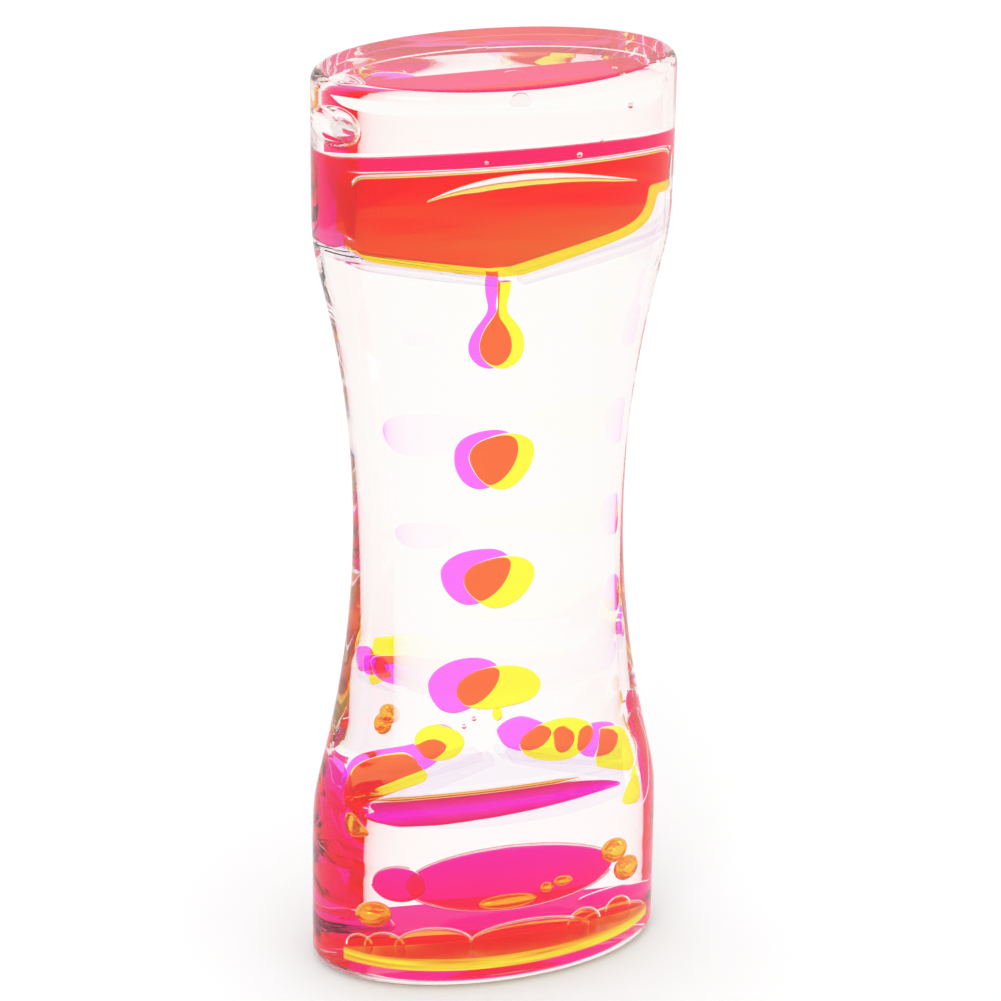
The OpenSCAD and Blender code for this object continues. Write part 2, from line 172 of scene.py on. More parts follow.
def tubeGrid(path, radius, sides=16):
    # a round tube along an open path in X, Y and Z; its radius may change from point to point
    p = np.asarray(path, float)
    along = np.gradient(p, axis=0)
    along /= np.linalg.norm(along, axis=1, keepdims=True)
    side = np.cross(along, [0, 0, 1.0])
    side /= np.linalg.norm(side, axis=1, keepdims=True)
    up = np.cross(side, along)
    a = np.linspace(0, 2 * np.pi, sides, endpoint=False)
    r = np.broadcast_to(radius, (len(p),))[:, None, None]
    ring = side[:, None] * np.cos(a)[None, :, None] + up[:, None] * np.sin(a)[None, :, None]
    return p[:, None] + r * ring


def domedPool(name, side, y0, floorZ, levelZ, domes, halfIn, columns, lines):
    # a D-shaped pool from the plate at y0 to the oval wall (halfIn, halfIn * innerAspect); its surface is the
    # highest of the level and the domes, each level + h sqrt(1 - ((x - cx) / halfX)^2 - ((y - cy) / halfY)^2)
    x = np.linspace(-1, 1, columns)
    x = halfIn * np.sin(x * np.pi / 2 * 0.985) * math.sqrt(1 - (y0 / (halfIn * innerAspect)) ** 2)
    wall = halfIn * innerAspect * np.sqrt(1 - (x / halfIn) ** 2)
    v = (1 - np.cos(np.linspace(0, np.pi, lines))) / 2
    gx = np.repeat(x[:, None], lines, 1)
    gy = y0 + v[None, :] * (wall[:, None] - y0)
    gz = np.full(gx.shape, float(levelZ))
    for cx, cy, halfX, halfY, h in domes:
        left = 1 - ((gx - cx) / halfX) ** 2 - ((gy - cy) / halfY) ** 2
        gz = np.maximum(gz, np.where(left > 0, levelZ + h * np.sqrt(np.maximum(left, 0)), levelZ))
    top = np.stack([gx, side * gy, gz], -1)
    low = top.copy()
    low[..., 2] = floorZ
    i, j = np.meshgrid(np.arange(columns - 1), np.arange(lines - 1), indexing="ij")
    a = (i * lines + j).ravel()
    upper = np.stack([a, a + lines, a + lines + 1, a + 1], -1)
    lower = upper[:, ::-1] + columns * lines
    rim = np.concatenate([np.arange(columns) * lines, (columns - 1) * lines + np.arange(1, lines),
                          np.arange(columns - 2, -1, -1) * lines + lines - 1, np.arange(lines - 2, 0, -1)])
    on = np.roll(rim, -1)
    walls = np.stack([rim, rim + columns * lines, on + columns * lines, on], -1)
    faces = np.concatenate([upper, lower, walls])[:, ::int(side)]
    piece = meshObject(name, np.concatenate([top.reshape(-1, 3), low.reshape(-1, 3)]) * mm, faces.tolist())
    piece.data.set_sharp_from_angle(angle=math.radians(50))
    return piece


def makeDrift():
    # two colours mixed by height and by slow streaks: the colour changes towards the top, which on the amber
    # beads is painted shade, darker towards the bottom
    group = bpy.data.node_groups.new("dyeStreaksAndShade", "ShaderNodeTree")
    for label, kind, value in (("Light", "Color", (1, 1, 1, 1)), ("Deep", "Color", (1, 1, 1, 1)),
                               ("Size", "Float", 60.0), ("Stretch", "Float", 4.0), ("Low", "Float", 0.0),
                               ("High", "Float", 0.15), ("Streaks", "Float", 1.0)):
        group.interface.new_socket(label, in_out="INPUT", socket_type="NodeSocket" + kind).default_value = value
    group.interface.new_socket("Color", in_out="OUTPUT", socket_type="NodeSocketColor")
    n, link = group.nodes, group.links.new
    given, out = n.new("NodeGroupInput"), n.new("NodeGroupOutput")
    place, split, join = (n.new("ShaderNode" + k) for k in ("TexCoord", "SeparateXYZ", "CombineXYZ"))
    noise, mix, rise = (n.new("ShaderNode" + k) for k in ("TexNoise", "Mix", "MapRange"))
    grow, centre, add = (n.new("ShaderNodeMath") for _ in range(3))
    grow.operation, centre.operation, add.operation = "MULTIPLY", "SUBTRACT", "MULTIPLY_ADD"
    centre.inputs[1].default_value = 0.5
    mix.data_type = "RGBA"
    noise.inputs["Detail"].default_value = 2.5
    link(place.outputs["Object"], split.inputs[0])
    link(split.outputs["X"], join.inputs["X"])
    link(split.outputs["Y"], join.inputs["Y"])
    link(split.outputs["Z"], grow.inputs[0])
    link(given.outputs["Stretch"], grow.inputs[1])
    link(grow.outputs[0], join.inputs["Z"])
    link(join.outputs[0], noise.inputs["Vector"])
    link(given.outputs["Size"], noise.inputs["Scale"])
    link(split.outputs["Z"], rise.inputs["Value"])
    link(given.outputs["Low"], rise.inputs["From Min"])
    link(given.outputs["High"], rise.inputs["From Max"])
    link(noise.outputs["Fac"], centre.inputs[0])
    link(centre.outputs[0], add.inputs[0])
    link(given.outputs["Streaks"], add.inputs[1])
    link(rise.outputs["Result"], add.inputs[2])
    link(add.outputs[0], mix.inputs["Factor"])
    link(given.outputs["Light"], mix.inputs["A"])
    link(given.outputs["Deep"], mix.inputs["B"])
    link(mix.outputs["Result"], out.inputs["Color"])
    return group


def makePaintedReflectionArc():
    # a mask for a painted reflection of the liquid's surface: 1 above the arc in which that surface is seen
    # and 0 below it, in metres: z + Bend (x - Across)^2 set against Low and High
    group = bpy.data.node_groups.new("paintedSurfaceReflection", "ShaderNodeTree")
    for label, value in (("Across", 0.003), ("Bend", 12.0), ("Low", 0.1338), ("High", 0.1345)):
        group.interface.new_socket(label, in_out="INPUT", socket_type="NodeSocketFloat").default_value = value
    group.interface.new_socket("Mask", in_out="OUTPUT", socket_type="NodeSocketFloat")
    n, link = group.nodes, group.links.new
    given, out = n.new("NodeGroupInput"), n.new("NodeGroupOutput")
    place, split, rise = (n.new("ShaderNode" + k) for k in ("TexCoord", "SeparateXYZ", "MapRange"))
    shift, square, bend = (n.new("ShaderNodeMath") for _ in range(3))
    shift.operation, square.operation, bend.operation = "SUBTRACT", "MULTIPLY", "MULTIPLY_ADD"
    link(place.outputs["Object"], split.inputs[0])
    link(split.outputs["X"], shift.inputs[0])
    link(given.outputs["Across"], shift.inputs[1])
    link(shift.outputs[0], square.inputs[0])
    link(shift.outputs[0], square.inputs[1])
    link(square.outputs[0], bend.inputs[0])
    link(given.outputs["Bend"], bend.inputs[1])
    link(split.outputs["Z"], bend.inputs[2])
    link(bend.outputs[0], rise.inputs["Value"])
    link(given.outputs["Low"], rise.inputs["From Min"])
    link(given.outputs["High"], rise.inputs["From Max"])
    link(rise.outputs["Result"], out.inputs["Mask"])
    return group


dyeStreaksAndShade = makeDrift()
paintedSurfaceReflection = makePaintedReflectionArc()


def linear(r, g, b):
    # the colour value that shows as this 0 to 255 screen colour
    shares = (r / 255, g / 255, b / 255)
    return tuple(c / 12.92 if c <= 0.04045 else ((c + 0.055) / 1.055) ** 2.4 for c in shares) + (1,)


def clearFinish(name, low, high, ior, z=(0, 150), size=60, stretch=4, streaks=0.6, rough=0.0, through=1.0,
                edge=None, blend=0.1, metal=0.0, arc=None):
    # a clear or dyed liquid or plastic: low and high are its colours at the heights z in mm, edge is its colour
    # where it turns away from the viewer, and arc its colour over the arc, a painted reflection of the liquid's
    # surface
    material = bpy.data.materials.new(name)
    material.use_nodes = True
    nodes, link = material.node_tree.nodes, material.node_tree.links.new
    shader = nodes["Principled BSDF"]
    shader.inputs["Transmission Weight"].default_value = through
    shader.inputs["IOR"].default_value = ior
    shader.inputs["Roughness"].default_value = rough
    shader.inputs["Metallic"].default_value = metal
    drift = nodes.new("ShaderNodeGroup")
    drift.node_tree = dyeStreaksAndShade
    for label, value in {"Light": linear(*low), "Deep": linear(*high), "Size": size, "Stretch": stretch,
                         "Low": z[0] * mm, "High": z[1] * mm, "Streaks": streaks}.items():
        drift.inputs[label].default_value = value
    if edge is None and arc is None:
        link(drift.outputs["Color"], shader.inputs["Base Color"])
        return material
    mix = nodes.new("ShaderNodeMix")
    mix.data_type = "RGBA"
    if arc:
        over = nodes.new("ShaderNodeGroup")
        over.node_tree = paintedSurfaceReflection
        link(over.outputs["Mask"], mix.inputs["Factor"])
    else:
        facing = nodes.new("ShaderNodeLayerWeight")
        facing.inputs["Blend"].default_value = blend
        link(facing.outputs["Facing"], mix.inputs["Factor"])
    link(drift.outputs["Color"], mix.inputs["A"])
    mix.inputs["B"].default_value = linear(*(arc or edge))
    link(mix.outputs["Result"], shader.inputs["Base Color"])
    return material


def flatSided(piece):
    # plates and cut ends keep hard edges, so their flat faces stay flat in the glass
    piece.data.set_sharp_from_angle(angle=math.radians(30))
    return piece


def finishPiece(piece, material, body, slotName, *stands):
    piece.data.materials.clear()
    piece.data.materials.append(material)
    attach(piece, body)
    if stands:
        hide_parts(*stands)
    return piece


# the refractive index of each piece against what it lies in: the body in air, the liquid in the body, and the
# rest in the liquid
index = {"body": 1.46, "liquid": 0.985, "insert": 1.004, "air": 0.69, "dye": 0.97, "bed": 0.99, "rim": 1.02}
brightRim = {"size": 200, "rough": 0.2, "through": 0, "metal": 1.0}
bodyFinish = clearFinish("clearAcrylic", (255, 255, 254), (254, 254, 252), index["body"], size=18,
                         stretch=1.5, edge=(246, 222, 228))
oilFinish = clearFinish("clearOil", (255, 255, 255), (255, 254, 253), index["liquid"], size=22, stretch=1.5,
                        edge=(244, 226, 232))
insertFinish = clearFinish("clearInsert", (255, 252, 254), (253, 250, 253), index["insert"], size=30,
                           stretch=1.5, edge=(226, 206, 232))
airFinish = clearFinish("airBubble", (250, 248, 246), (240, 236, 238), index["air"], size=200, stretch=1)
yellowFinish = clearFinish("yellowDrop", (255, 255, 62), (255, 252, 45), index["dye"])
magentaFinish = clearFinish("magentaDrop", (255, 118, 255), (250, 106, 252), index["dye"])
yellowPoolFinish = clearFinish("yellowPool", (255, 235, 50), (255, 205, 30), index["dye"], z=(119, 134),
                               size=42, stretch=9, streaks=1.6)
# the magenta pool's deeper colour over the arc is a painted reflection of the liquid's surface
magentaPoolFinish = clearFinish("magentaPool", (240, 112, 185), (255, 8, 115), index["dye"], z=(117, 130),
                                size=36, stretch=10, streaks=2.0, arc=(250, 0, 102))
amberFinish = clearFinish("amberPool", (255, 215, 40), (255, 150, 60), index["dye"], z=(4, 8), stretch=6)
bedFinish = clearFinish("amberBed", (255, 236, 48), (246, 150, 24), index["bed"], z=(2.2, 6), stretch=22,
                        streaks=3.2, rough=0.25, through=0, metal=1.0)
# the beads are painted with shade: darker orange where they turn away, and darker towards the bottom
shadedBeadFinish = clearFinish("amberBeadPaintedShade", (255, 200, 28), (255, 222, 70), index["dye"], z=(8, 18), size=200,
                         stretch=1, rough=0.1, edge=(246, 140, 0), blend=0.25, metal=0.55)
deepFinish = clearFinish("deepMagentaPool", (252, 0, 118), (246, 0, 160), index["dye"], z=(2, 6), size=50,
                         stretch=3, streaks=0.8)
lensFinish = clearFinish("magentaLens", (255, 0, 112), (246, 0, 168), index["dye"], z=(6, 17), size=30,
                         stretch=2, streaks=1.6)
# mirror finishes: pale and gold for painted highlights, orange for the line along the shelf's straight edge
paleHighlightFinish = clearFinish("paleHighlight", (255, 250, 252), (255, 255, 255), index["rim"], **brightRim)
goldHighlightFinish = clearFinish("goldHighlight", (255, 214, 70), (255, 236, 120), index["rim"], **brightRim)
orangeFinish = clearFinish("orangeRim", (255, 214, 100), (255, 222, 120), index["rim"], **brightRim)
print("finishes made")

# the clear body, with the round edges of its two caps
bodyRows = {"rim": 12, "middle": 120, "faceIn": 0.4}
rimArc = np.linspace(0, np.pi / 2, bodyRows["rim"])
rimZ = bodySizes["rim"] * (1 - np.cos(rimArc))
rimIn = bodySizes["rim"] * (1 - np.sin(rimArc))
midRows = np.linspace(bodySizes["rim"], bodySizes["height"] - bodySizes["rim"], bodyRows["middle"] + 2)[1:-1]
bodyZ = np.concatenate([[0], rimZ, midRows, bodySizes["height"] - rimZ[::-1], [bodySizes["height"]]])
faceIn = [rimIn[0] + bodyRows["faceIn"]]
bodyIn = np.concatenate([faceIn, rimIn, np.zeros(bodyRows["middle"]), rimIn[::-1], faceIn])
bodyRings = ovalGrid(bodyZ, outerHalf(bodyZ) - bodyIn, outerHalf(bodyZ) * outerAspect - bodyIn,
                     sides=bodySizes["sides"])
finishPiece(closedGrid("clear_body", bodyRings), bodyFinish, "case", "clear_body", "outer_shell", "top_cap",
            "bottom_cap", "centre_divider", "front_window", "rear_window")

# the hollow filled with clear liquid, drawn in by the skirts of the caps
cavitySizes = {"low": 2.2, "high": 147.8, "round": 2.0, "skirt": 1.5, "skirtEnd": 11.6, "skirtEase": 0.8,
               "straight": (5, 145), "rows": 160}
turnArc = np.linspace(0, np.pi / 2, 10)
turnZ, turnIn = (cavitySizes["round"] * (1 - f(turnArc)) for f in (np.cos, np.sin))
straightZ = np.linspace(*cavitySizes["straight"], cavitySizes["rows"])
cavityZ = np.concatenate([cavitySizes["low"] + turnZ, straightZ, (cavitySizes["high"] - turnZ)[::-1]])
cavityIn = np.concatenate([turnIn, np.zeros(cavitySizes["rows"]), turnIn[::-1]])
pastSkirtEnd = np.abs(cavityZ - middleZ) - (middleZ - cavitySizes["skirtEnd"])
skirtIn = cavitySizes["skirt"] * np.clip(pastSkirtEnd / cavitySizes["skirtEase"] + 0.5, 0, 1)
cavityRings = ovalGrid(cavityZ, innerHalf(cavityZ) - skirtIn - cavityIn,
                       innerHalf(cavityZ) * innerAspect - skirtIn - cavityIn, sides=bodySizes["sides"])
finishPiece(closedGrid("clear_liquid", cavityRings), oilFinish, "case", "clear_liquid", "front_clear_liquid",
            "rear_clear_liquid", "front_cap_liquid", "rear_cap_liquid")

# air as (x, y, z, half sizes or radius): a pocket in the left end of the top, a few small bubbles near it,
# and two that follow the lowest front drop
airSizes = {"pocket": (-23.4, 0, 141.6, 2.6, 5.2, 3.3),
            "small": [(9.6, -6, 136.6, 0.45), (13, -6, 138.4, 0.35), (17.5, -5, 143.2, 0.5),
                      (-4.4, -7, 136.9, 0.3)],
            "falling": [(-5.4, -3.25, 41.4, 0.4), (-3.9, -3.25, 42.6, 0.4)]}
finishPiece(closedGrid("air_pocket", ballGrid(*airSizes["pocket"])), airFinish, "case", "clear_liquid")
for name, key, body in (("small_bubbles", "small", "case"), ("drop_bubbles", "falling", "front_drop_3")):
    bubbles = [ballGrid(x, y, z, r, r, r, rows=10, sides=14) for x, y, z, r in airSizes[key]]
    finishPiece(closedGrid(name, *bubbles), airFinish, body, "clear_liquid")
print("body and clear liquid made")

# the flat channels before and behind the plate: the depths between which the liquids lie
channel = {"near": 1.1, "far": 5.4, "front": -1, "rear": 1}


def channelReach(name):
    return sorted(channel[name] * channel[k] for k in ("near", "far"))


# the coloured liquid over the funnels: outlines in X and Z from the nozzle round to the right
upperPools = {"nozzle": (1.7, 118.4), "edge": 0.3, "wallY": 5.5, "wallGap": 0.2,
              "radii": [0.5, 3.5, 2.5, 0.6, 0.6, 2.5, 2.5, 0.6, 0.6, 0.8, 2, 0.5],
              "front": {"top": 135.4, "right": [(18.6, 122.6), (21.6, 124.6), (22.7, 128.3), (25.2, 128.3)],
                        "left": [(-24.3, 125.6), (-23.2, 124.9), (-22.9, 123), (-21.4, 121.8)]},
              "rear": {"top": 136.5, "right": [(18, 122.3), (20.6, 124.4), (21.2, 128.4), (25, 128.6)],
                       "left": [(-24.6, 122.7), (-22.6, 122.3), (-21.6, 122.8), (-20.4, 121.6)]}}


def upperLoop(name):
    x, z = upperPools["nozzle"]
    top, right, left = (upperPools[name][k] for k in ("top", "right", "left"))
    wall = float(across(top, upperPools["wallY"], upperPools["wallGap"]))
    corners = [(x, z), *right, (wall, top), (max(-wall, left[0][0] - 0.1), top), *left, (-x, z)]
    return roundCorners(corners, upperPools["radii"])


for name, dye, finish in (("front", "yellow", yellowPoolFinish), ("rear", "magenta", magentaPoolFinish)):
    pool = slabGrid(upperLoop(name), *channelReach(name), upperPools["edge"])
    finishPiece(closedGrid(dye + "_upper_pool", pool), finish, "case", dye + "_liquid", name + "_upper_pool")

# the funnel floors: a V in two halves that leave the nozzle open, with a lip at each end but the rear left
funnelSizes = {"half": [(1.75, 118.1), (22.4, 121.7), (23.7, 124.7), (24.9, 124.7), (24.9, 121.9),
                        (22.4, 120.5), (1.75, 116.9)],
               "radii": [0.3, 1.5, 0.4, 0.4, 0.6, 1.5, 0.3], "lipZ": 122.2, "edge": 0.2}
lippedHalf = roundCorners(funnelSizes["half"], funnelSizes["radii"])
plainHalf = lippedHalf[lippedHalf[:, 1] <= funnelSizes["lipZ"]]
for name, leftHalf in (("front", lippedHalf), ("rear", plainHalf)):
    loops = (lippedHalf, leftHalf * [-1, 1])
    halves = [slabGrid(loop, *channelReach(name), funnelSizes["edge"]) for loop in loops]
    finishPiece(flatSided(closedGrid(name + "_funnel_floor", *halves)), insertFinish, "case", "clear_insert",
                name + "_funnel")
print("upper pools and funnels made")

# free drops: outlines in X and Z at rest, flattened between the plates; the lowest front one has a short tail
dropLook = {"front": -3.25, "rear": 3.25, "halfT": 1.95, "tail": (-0.4, -3.25, 43, 0.75, 0.75, 1.2)}
dropShapes = {
    "front_drop_1":
        [(-5.1, 87.4), (-4.8, 88.9), (-4, 90.1), (-2.8, 90.8), (-1.2, 91.3), (0.4, 91.6), (2, 91.5),
         (3.3, 90.9), (4.3, 89.8), (4.6, 88.3), (4.2, 86.4), (3.3, 84.4), (2, 82.9), (0.4, 82),
         (-1.2, 82.2), (-2.8, 83.2), (-4.2, 85)],
    "front_drop_2":
        [(-5.6, 66.4), (-5.3, 67.9), (-4.4, 69), (-3, 69.7), (-1, 70.2), (1, 70.4), (2.7, 70.2),
         (4.1, 69.4), (5, 68.1), (4.9, 66.2), (3.9, 64.2), (2.4, 62.7), (0.6, 61.8), (-1.2, 61.6),
         (-2.8, 62.4), (-4.3, 63.8), (-5.3, 65.2)],
    "front_drop_3":
        [(-6.7, 46.8), (-6.3, 48.6), (-5.2, 49.9), (-3.6, 50.8), (-1.4, 51.2), (1.2, 51.4), (3.4, 50.9),
         (5.2, 49.8), (6.3, 48), (5.9, 46.2), (4.8, 45.1), (3, 44.6), (1, 44.4), (-1.4, 44.1),
         (-3.6, 44.4), (-5.6, 45.2)],
    "rear_drop_1":
        [(-5, 85.9), (-4.9, 87.8), (-4, 89.5), (-2.4, 90.5), (-0.6, 90.9), (1.2, 90.9), (2.6, 90.2),
         (3.6, 88.9), (3.8, 87), (3.3, 84.8), (2.1, 82.7), (0.7, 81.4), (-1, 80.7), (-2.6, 80.9),
         (-4, 82.1), (-4.8, 84)],
    "rear_drop_2":
        [(-6.6, 65.2), (-6.6, 66.8), (-5.8, 68.3), (-4.3, 69.5), (-2.4, 70.1), (-0.4, 70.2), (1.2, 70),
         (2.4, 69.1), (3.1, 67.6), (2.7, 65.4), (1.6, 63.2), (0, 61.6), (-1.8, 60.7), (-3.5, 60.6),
         (-5.1, 61.7), (-6.2, 63.4)],
    "rear_drop_3":
        [(-8.3, 45.7), (-8.2, 47.4), (-7.2, 49.2), (-5.4, 50.5), (-3.2, 51.1), (-1.2, 51.1), (0.6, 50.4),
         (1.6, 48.9), (1.5, 47), (0.4, 44.9), (-1.2, 43.3), (-3, 42.2), (-5, 41.6), (-6.8, 42.2),
         (-7.9, 43.9)]}


def dyeOf(name):
    # the depth, finish and slot of a drop: yellow in the front channel, magenta in the rear one
    if name.startswith("front"):
        return dropLook["front"], yellowFinish, "yellow_liquid"
    return dropLook["rear"], magentaFinish, "magenta_liquid"


for name, points in dropShapes.items():
    y, finish, slotName = dyeOf(name)
    grids = [pancakeGrid(smoothLoop(points), y, dropLook["halfT"])]
    if name == "front_drop_3":
        grids.append(ballGrid(*dropLook["tail"], rows=16, sides=24))
    finishPiece(closedGrid(name.replace("drop", "flat_drop"), *grids), finish, name, slotName, name)

# hanging drops: height, left edge and right edge from the nozzle down; the rings follow smooth curves between
# them, and the three lowest draw in to a round end
hangShapes = {
    "front":
        [(117.4, -1.5, 0.5), (116, -1.5, 0.4), (114.6, -1.4, 0.1), (113.4, -1.3, -0.1), (112.5, -1.5, 0),
         (111.5, -2, 0.6), (110.2, -2.9, 1.6), (108.6, -3.6, 2.4), (107, -3.9, 2.7), (105.4, -3.7, 2.6),
         (104, -2.9, 2), (103.1, -1.9, 0.9), (102.7, -0.9, 0)],
    "rear":
        [(117.4, -1.4, 0.4), (115.6, -1.4, 0.4), (114, -1.3, 0.3), (112.6, -0.9, 0.1), (111.4, -0.9, 0.2),
         (110.2, -1.5, 0.8), (108.8, -2.4, 1.7), (107.2, -3.2, 2.4), (105.6, -3.5, 2.7), (104, -3.3, 2.6),
         (102.7, -2.6, 1.9), (101.8, -1.7, 0.9), (101.5, -0.8, 0.1)]}
hangLook = {"rings": 70, "crowd": 1.3, "smooth": 7, "lowest": [0.35, 0.7, 0.9]}
for name, rows in hangShapes.items():
    y, finish, slotName = dyeOf(name)
    key = np.array(rows[::-1])
    z = key[0, 0] + (key[-1, 0] - key[0, 0]) * np.linspace(0, 1, hangLook["rings"]) ** hangLook["crowd"]
    left, right = (np.interp(z, key[:, 0], key[:, k]) for k in (1, 2))
    mean = np.ones(hangLook["smooth"]) / hangLook["smooth"]
    padded = (np.pad(v, hangLook["smooth"] // 2, "edge") for v in (left, right))
    left, right = (np.convolve(v, mean, "valid") for v in padded)
    half = (right - left) / 2
    half[:3] *= hangLook["lowest"]
    rings = ovalGrid(z, half, np.minimum(half, dropLook["halfT"]), (left + right) / 2, y, 64)
    finishPiece(closedGrid(name + "_pendant", rings), finish, name + "_hanging_drop", slotName,
                name + "_hanging_drop")
print("drops made")

# painted highlights, as mirror pieces that show the white room: the curved streak in the front pool, white over
# yellow, and the line round the pool's top; the streak's thicknesses are given at each x
streak = {"x": [-12.6, -9, -5, 0, 5, 10, 15, 18.8], "y": -5.7, "halfT": 0.3, "gap": 0.05,
          "top": [131.1, 132.7, 133.7, 134.3, 134.2, 133.5, 132.3, 131.3],
          "white": [0.1, 0.5, 0.9, 1.1, 1.0, 0.7, 0.4, 0.1],
          "yellow": [0.1, 0.5, 0.9, 0.9, 0.8, 0.6, 0.4, 0.1]}
streakX = np.linspace(streak["x"][0], streak["x"][-1], 60)
streakTop = np.polyval(np.polyfit(streak["x"], streak["top"], 4), streakX)
whiteT, yellowT = (np.interp(streakX, streak["x"], streak[k]) for k in ("white", "yellow"))


def streakGrid(x, top, thick, y, halfT, sides=16):
    # ovals set across X: y + halfT min(thick, 0.6) cos(a), top - thick / 2 + (thick / 2) sin(a)
    a = np.linspace(0, 2 * np.pi, sides, endpoint=False)
    depth = y + halfT * np.cos(a)[None, :] * np.minimum(thick, 0.6)[:, None]
    height = (top - thick / 2)[:, None] + thick[:, None] / 2 * np.sin(a)[None, :]
    return np.stack([np.repeat(x[:, None], sides, 1), depth, height], -1)


for name, top, thick, finish in (("streak_white", streakTop, whiteT, paleHighlightFinish),
                                 ("streak_yellow", streakTop - whiteT - streak["gap"], yellowT, goldHighlightFinish)):
    crescent = streakGrid(streakX, top, thick, streak["y"], streak["halfT"])
    finishPiece(closedGrid(name, crescent), finish, "case", "yellow_liquid")
poolEdge = {"above": 134.2, "y": -5.65, "lines": [("front_pool_rim_highlight", 0.2, 0, paleHighlightFinish),
                                                  ("front_pool_gold_highlight", 0.14, 0.35, goldHighlightFinish)]}
topEdge = upperLoop("front")
topEdge = topEdge[topEdge[:, 1] > poolEdge["above"]]
topEdge = topEdge[np.argsort(topEdge[:, 0])]
for name, radius, lower, finish in poolEdge["lines"]:
    path = np.stack([topEdge[:, 0], np.full(len(topEdge), poolEdge["y"]), topEdge[:, 1] - lower], -1)
    finishPiece(closedGrid(name, tubeGrid(path, radius)), finish, "case", "yellow_liquid")

# shelves and ramps: a D-shaped plate under a roof that runs down to both ends, each with its drip hole
rampSizes = {"halfWidth": 19.6, "front": 36.6, "rear": 35.0, "foot": 29.45, "thick": 1.3, "hole": 1.35,
             "shelf": (28.0, 29.25), "wallZ": 28.4, "wallGap": 0.2, "corner": 0.3, "edge": 0.02}
shelfX = rampSizes["halfWidth"] * np.sin(np.linspace(-1, 1, 60) * np.pi / 2)
shelfHalf = innerHalf(rampSizes["wallZ"], rampSizes["wallGap"])
shelfRound = np.stack([shelfX, shelfHalf * innerAspect * np.sqrt(1 - (shelfX / shelfHalf) ** 2)], -1)
shelfBack = [[turn * rampSizes["halfWidth"], channel["near"]] for turn in (1, -1)]
shelfLoop = np.concatenate([shelfRound, shelfBack])
for name in ("front", "rear"):
    r = rampSizes
    fall = (r[name] - r["foot"]) / r["halfWidth"]
    crest = r[name] - fall * r["hole"]
    slope = np.array([(r["hole"], crest), (r["halfWidth"], r["foot"]),
                      (r["halfWidth"] - r["thick"] / fall, r["foot"]), (r["hole"], crest - r["thick"])])
    slopes = [slabGrid(roundCorners(slope * [turn, 1], r["corner"]), *channelReach(name), r["edge"])
              for turn in (1, -1)]
    finishPiece(flatSided(closedGrid(name + "_ramp_roof", *slopes)), insertFinish, "case", "clear_insert",
                name + "_ramp")
    plate = slabGrid(shelfLoop * [1, channel[name]], *r["shelf"], r["edge"], upright=False)
    finishPiece(flatSided(closedGrid(name + "_shelf_plate", plate)), insertFinish, "case", "clear_insert",
                name + "_shelf")

# the dyed film in the front shelf, striped from its round edge to its straight one, its pale lilac stripe a
# painted highlight; and the lines along the straight edge, orange with a pale painted highlight under it, as
# (name, from x, to x, y, z, radius, finish)
shelfFilm = {"outline": [(-19.4, -1.8), (-8, -1.3), (6, -1.4), (12.5, -2.3), (16.5, -4.2), (19.3, -6.8),
                         (15, -7.8), (11, -9.1), (4, -10.8), (-3, -11.9), (-12, -12.4), (-18.6, -11.4),
                         (-21.6, -8.4), (-22.3, -5.8), (-20, -5.6)],
             "z": (28.1, 28.6), "y": (-13, -1), "corner": 1.2, "edge": 0.15,
             "stripes": [(0.0, (232, 0, 70)), (0.3, (250, 0, 150)), (0.45, (255, 0, 205)),
                         (0.53, (255, 130, 238)), (0.6, (250, 0, 190)), (0.85, (240, 0, 120)),
                         (1.0, (228, 0, 90))],
             "lines": [("front_shelf_line", -19, 12.5, -1.6, 28.92, 0.3, orangeFinish),
                       ("front_shelf_highlight", -18.5, 13.5, -1.8, 28.56, 0.12, paleHighlightFinish)]}


def makeFilmFinish(film):
    # stripes across Y: the colours at shares of the way between the two values of y
    material = bpy.data.materials.new("shelfFilm")
    material.use_nodes = True
    nodes, link = material.node_tree.nodes, material.node_tree.links.new
    shader = nodes["Principled BSDF"]
    place, split, span, ramp = (nodes.new("ShaderNode" + k) for k in ("TexCoord", "SeparateXYZ", "MapRange",
                                                                      "ValToRGB"))
    link(place.outputs["Object"], split.inputs[0])
    link(split.outputs["Y"], span.inputs["Value"])
    span.inputs["From Min"].default_value, span.inputs["From Max"].default_value = (v * mm for v in film["y"])
    link(span.outputs["Result"], ramp.inputs["Fac"])
    stops = ramp.color_ramp.elements
    while len(stops) < len(film["stripes"]):
        stops.new(0.5)
    for stop, (share, color) in zip(stops, film["stripes"]):
        stop.position = share
    for stop, (share, color) in zip(stops, film["stripes"]):
        stop.color = linear(*color)
    link(ramp.outputs["Color"], shader.inputs["Base Color"])
    shader.inputs["Transmission Weight"].default_value = 1
    shader.inputs["IOR"].default_value = index["dye"]
    shader.inputs["Roughness"].default_value = 0
    return material


film = slabGrid(roundCorners(shelfFilm["outline"], shelfFilm["corner"]), *shelfFilm["z"], shelfFilm["edge"],
                upright=False)
finishPiece(closedGrid("front_shelf_film", film), makeFilmFinish(shelfFilm), "case", "magenta_liquid")
for name, x0, x1, y, z, radius, finish in shelfFilm["lines"]:
    lineX = np.linspace(x0, x1, 40)
    lineR = radius * np.clip(np.minimum(lineX - x0, x1 - lineX) / 4 + 0.15, 0, 1)
    path = np.stack([lineX, np.full(40, y), np.full(40, z)], -1)
    finishPiece(closedGrid(name, tubeGrid(path, lineR)), finish, "case", "yellow_liquid")
print("shelves and ramps made")

